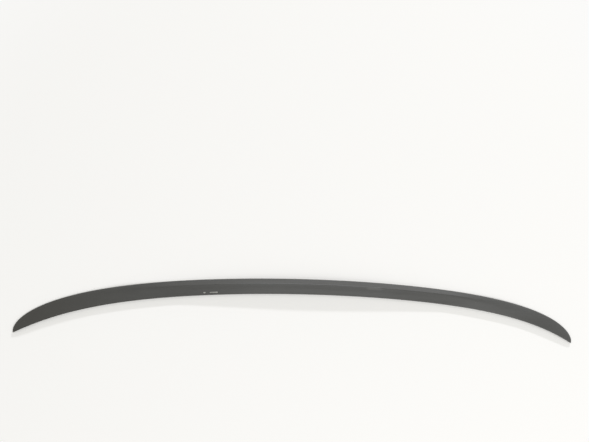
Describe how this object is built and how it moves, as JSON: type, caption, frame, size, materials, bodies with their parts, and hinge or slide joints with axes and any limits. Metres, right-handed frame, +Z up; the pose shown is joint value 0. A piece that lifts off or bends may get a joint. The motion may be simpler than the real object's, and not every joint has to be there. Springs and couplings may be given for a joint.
{
  "type": "trunk spoiler",
  "caption": "Slim crescent-shaped lip spoiler for a trunk lid, with a rounded crest along the middle, pointed tips and a ribbed hollow underside; it is bonded along the lid's rear edge.",
  "frame": {"origin": "middle of the bounding box in X and Y, on the plane that the lip rests on", "axes": "+X across the car, along the lip from tip to tip; +Y towards the car's rear, out of the convex trailing edge; +Z up, away from the lid"},
  "size_m": [1.2, 0.1244, 0.015],
  "materials": {
    "paint": "dark grey satin paint on moulded plastic, two small chips near the front edge, bare plastic underneath"
  },
  "bodies": {
    "root": {"spoiler": "paint"}
  },
  "joints": []
}
